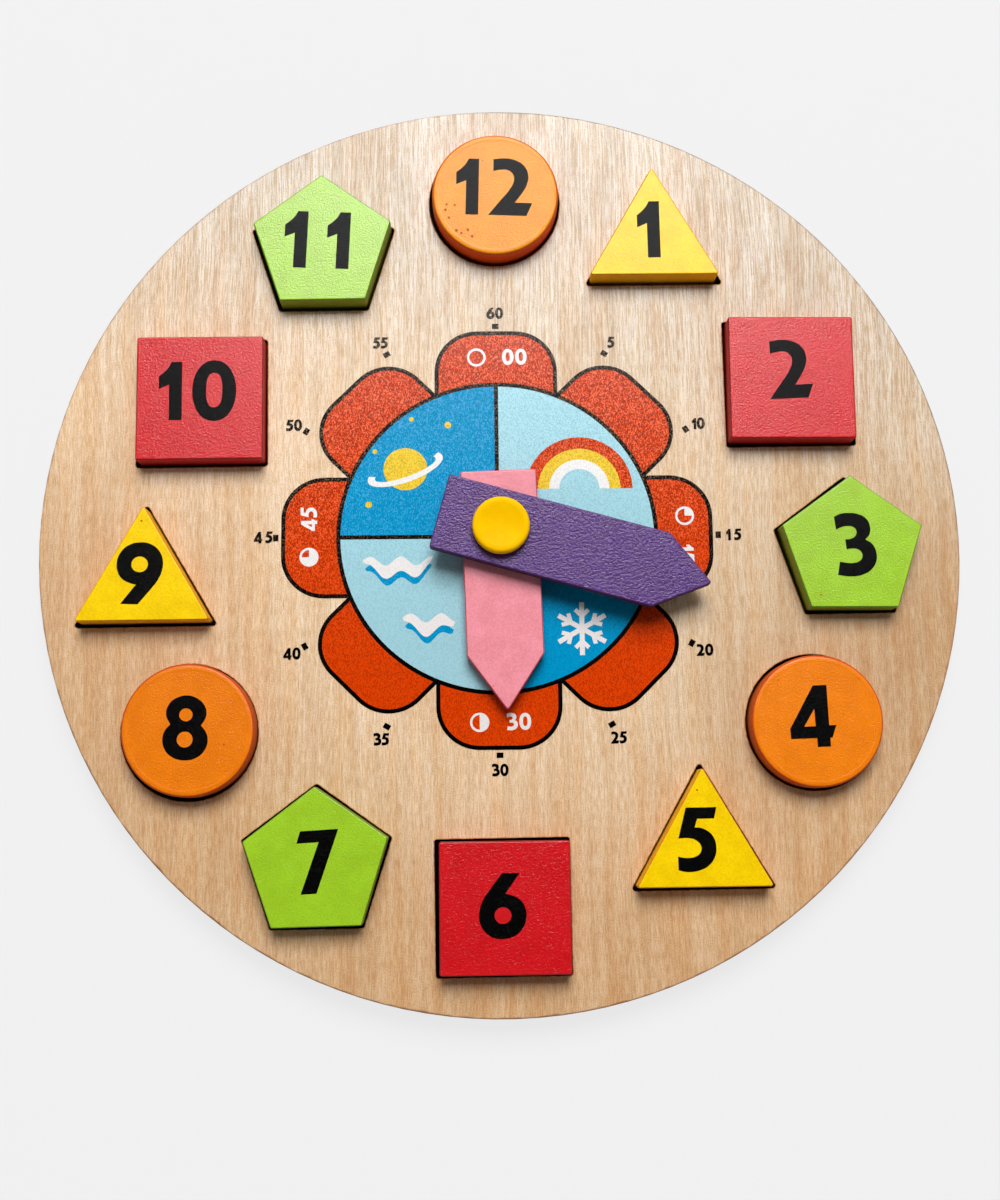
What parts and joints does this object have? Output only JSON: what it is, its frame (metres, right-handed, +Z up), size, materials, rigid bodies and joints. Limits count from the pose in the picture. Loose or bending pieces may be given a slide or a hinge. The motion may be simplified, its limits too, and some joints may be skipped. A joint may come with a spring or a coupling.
{
  "type": "shape-sorting teaching clock",
  "caption": "Round wooden teaching clock: numbered shape blocks lift out of seats around a printed dial, and hour and minute hands turn by hand on one pivot.",
  "frame": {"origin": "middle of the board's underside, the face it rests on", "axes": "+Z up out of the dial, +Y towards 12 o'clock, +X towards 3 o'clock"},
  "size_m": [0.3, 0.3, 0.0236],
  "materials": {
    "face_wood": "clear satin lacquer over pale rotary-cut veneer",
    "back_wood": "sanded, thin clear lacquer",
    "paint_orange": "thick semi-gloss paint on wood",
    "paint_yellow": "thick semi-gloss paint on wood",
    "paint_red": "thick semi-gloss paint on wood, pebbled",
    "paint_green": "thick semi-gloss paint on wood",
    "paint_pink": "semi-gloss paint on wood",
    "paint_purple": "semi-gloss paint on wood, pebbled",
    "button_yellow": "smooth moulded plastic",
    "spacer_nylon": "black nylon",
    "screw_steel": "zinc-plated steel"
  },
  "bodies": {
    "board": {"face_board": "face_wood", "back_board": "back_wood", "board_spacer": "spacer_nylon", "hand_spacer": "spacer_nylon", "button_spacer": "spacer_nylon", "pivot_button": "button_yellow", "rear_washer": "screw_steel", "pivot_screw": "screw_steel"},
    "hour_hand": {"hour_hand": "paint_pink"},
    "minute_hand": {"minute_hand": "paint_purple"},
    "block_01_triangle": {"block_01_triangle": "paint_yellow"},
    "block_02_square": {"block_02_square": "paint_red"},
    "block_03_pentagon": {"block_03_pentagon": "paint_green"},
    "block_04_circle": {"block_04_circle": "paint_orange"},
    "block_05_triangle": {"block_05_triangle": "paint_yellow"},
    "block_06_square": {"block_06_square": "paint_red"},
    "block_07_pentagon": {"block_07_pentagon": "paint_green"},
    "block_08_circle": {"block_08_circle": "paint_orange"},
    "block_09_triangle": {"block_09_triangle": "paint_yellow"},
    "block_10_square": {"block_10_square": "paint_red"},
    "block_11_pentagon": {"block_11_pentagon": "paint_green"},
    "block_12_circle": {"block_12_circle": "paint_orange"}
  },
  "joints": [
    {"name": "hour_hand_turn", "type": "hinge", "parent": "board", "child": "hour_hand", "pos_m": [-0.0004, 0.0043, 0.0125], "axis": [0, 0, -1], "continuous": true},
    {"name": "minute_hand_turn", "type": "hinge", "parent": "board", "child": "minute_hand", "pos_m": [-0.0004, 0.0043, 0.0173], "axis": [0, 0, -1], "continuous": true},
    {"name": "block_01_triangle_lift", "type": "slide", "parent": "board", "child": "block_01_triangle", "axis": [0, 0, 1], "range_m": [0, 0.04]},
    {"name": "block_02_square_lift", "type": "slide", "parent": "board", "child": "block_02_square", "axis": [0, 0, 1], "range_m": [0, 0.04]},
    {"name": "block_03_pentagon_lift", "type": "slide", "parent": "board", "child": "block_03_pentagon", "axis": [0, 0, 1], "range_m": [0, 0.04]},
    {"name": "block_04_circle_lift", "type": "slide", "parent": "board", "child": "block_04_circle", "axis": [0, 0, 1], "range_m": [0, 0.04]},
    {"name": "block_05_triangle_lift", "type": "slide", "parent": "board", "child": "block_05_triangle", "axis": [0, 0, 1], "range_m": [0, 0.04]},
    {"name": "block_06_square_lift", "type": "slide", "parent": "board", "child": "block_06_square", "axis": [0, 0, 1], "range_m": [0, 0.04]},
    {"name": "block_07_pentagon_lift", "type": "slide", "parent": "board", "child": "block_07_pentagon", "axis": [0, 0, 1], "range_m": [0, 0.04]},
    {"name": "block_08_circle_lift", "type": "slide", "parent": "board", "child": "block_08_circle", "axis": [0, 0, 1], "range_m": [0, 0.04]},
    {"name": "block_09_triangle_lift", "type": "slide", "parent": "board", "child": "block_09_triangle", "axis": [0, 0, 1], "range_m": [0, 0.04]},
    {"name": "block_10_square_lift", "type": "slide", "parent": "board", "child": "block_10_square", "axis": [0, 0, 1], "range_m": [0, 0.04]},
    {"name": "block_11_pentagon_lift", "type": "slide", "parent": "board", "child": "block_11_pentagon", "axis": [0, 0, 1], "range_m": [0, 0.04]},
    {"name": "block_12_circle_lift", "type": "slide", "parent": "board", "child": "block_12_circle", "axis": [0, 0, 1], "range_m": [0, 0.04]}
  ]
}
